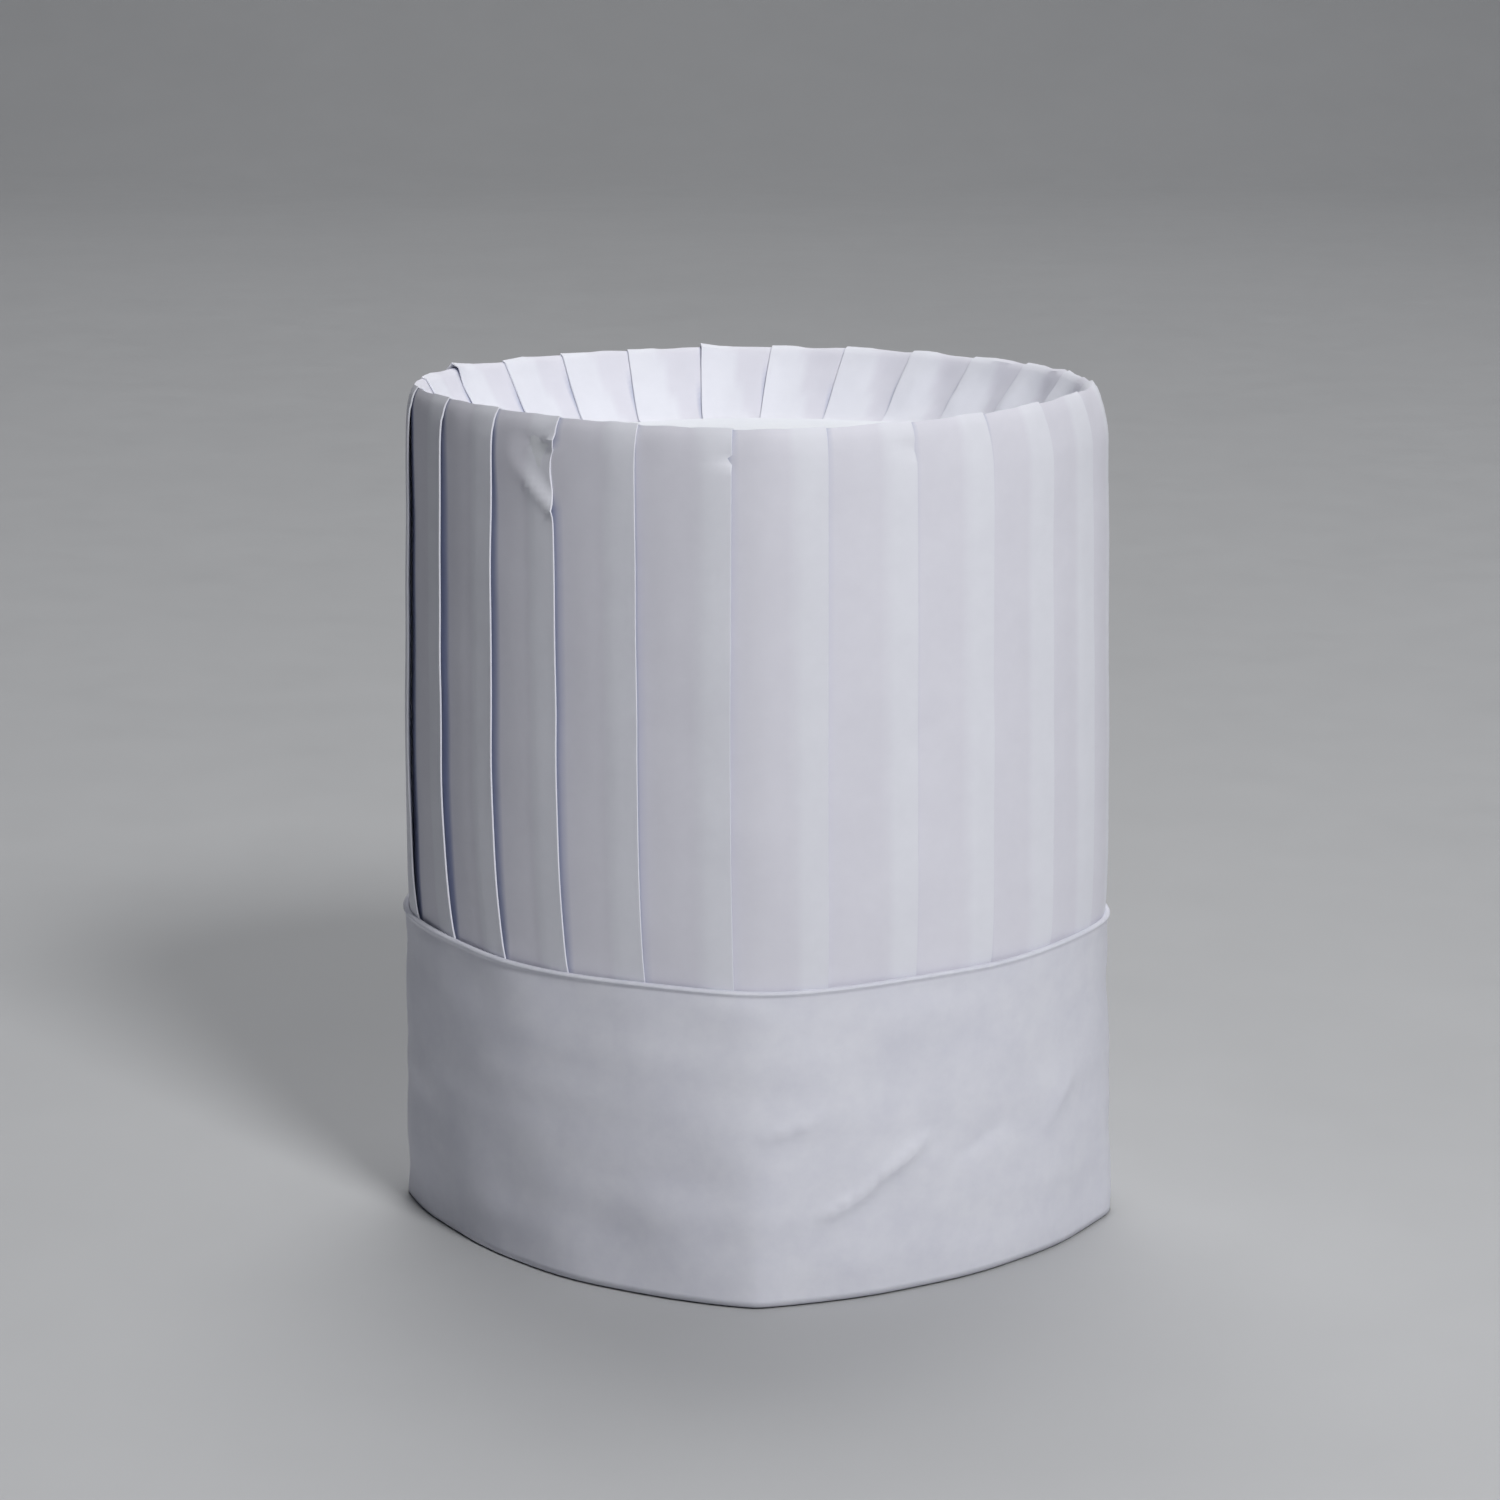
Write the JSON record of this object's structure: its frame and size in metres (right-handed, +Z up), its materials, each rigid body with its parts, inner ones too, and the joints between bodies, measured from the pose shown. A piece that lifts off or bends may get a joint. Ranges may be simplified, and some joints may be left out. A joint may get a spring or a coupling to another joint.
{
  "type": "chef toque",
  "caption": "Disposable pleated paper chef hat: a straight knife-pleated crown with a sunken closed top, glued into a folded paper headband with a sliding size tongue at the back.",
  "frame": {"origin": "centre of the footprint, on the surface that the headband stands on", "axes": "+Z up to the crown's rim, the hat's front crease at -Y and its size closure at +Y, +X to the left of the wearer who looks along -Y"},
  "size_m": [0.192, 0.1617, 0.2286],
  "materials": {
    "crown_paper": "matte",
    "top_panel_paper": "matte",
    "seam_tape_paper": "matte",
    "headband_paper": "matte",
    "sweatband_nonwoven": "matte",
    "size_tab_paper": "matte",
    "tape_film": "satin",
    "liner_paper": "satin",
    "adhesive": "satin"
  },
  "bodies": {
    "hat": {"crown": "crown_paper", "top_panel": "top_panel_paper", "top_glue": "adhesive", "seam_tape": "seam_tape_paper", "headband": "headband_paper", "crown_glue": "adhesive", "sweatband": "sweatband_nonwoven", "sweatband_glue": "adhesive"},
    "size_tongue": {"size_tab": "size_tab_paper", "tab_tape": "tape_film", "tab_liner": "liner_paper"}
  },
  "joints": [
    {"name": "size_adjust", "type": "hinge", "parent": "hat", "child": "size_tongue", "pos_m": [0, -0.024, 0], "axis": [0, 0, -1], "range_deg": [-20, 15]}
  ]
}
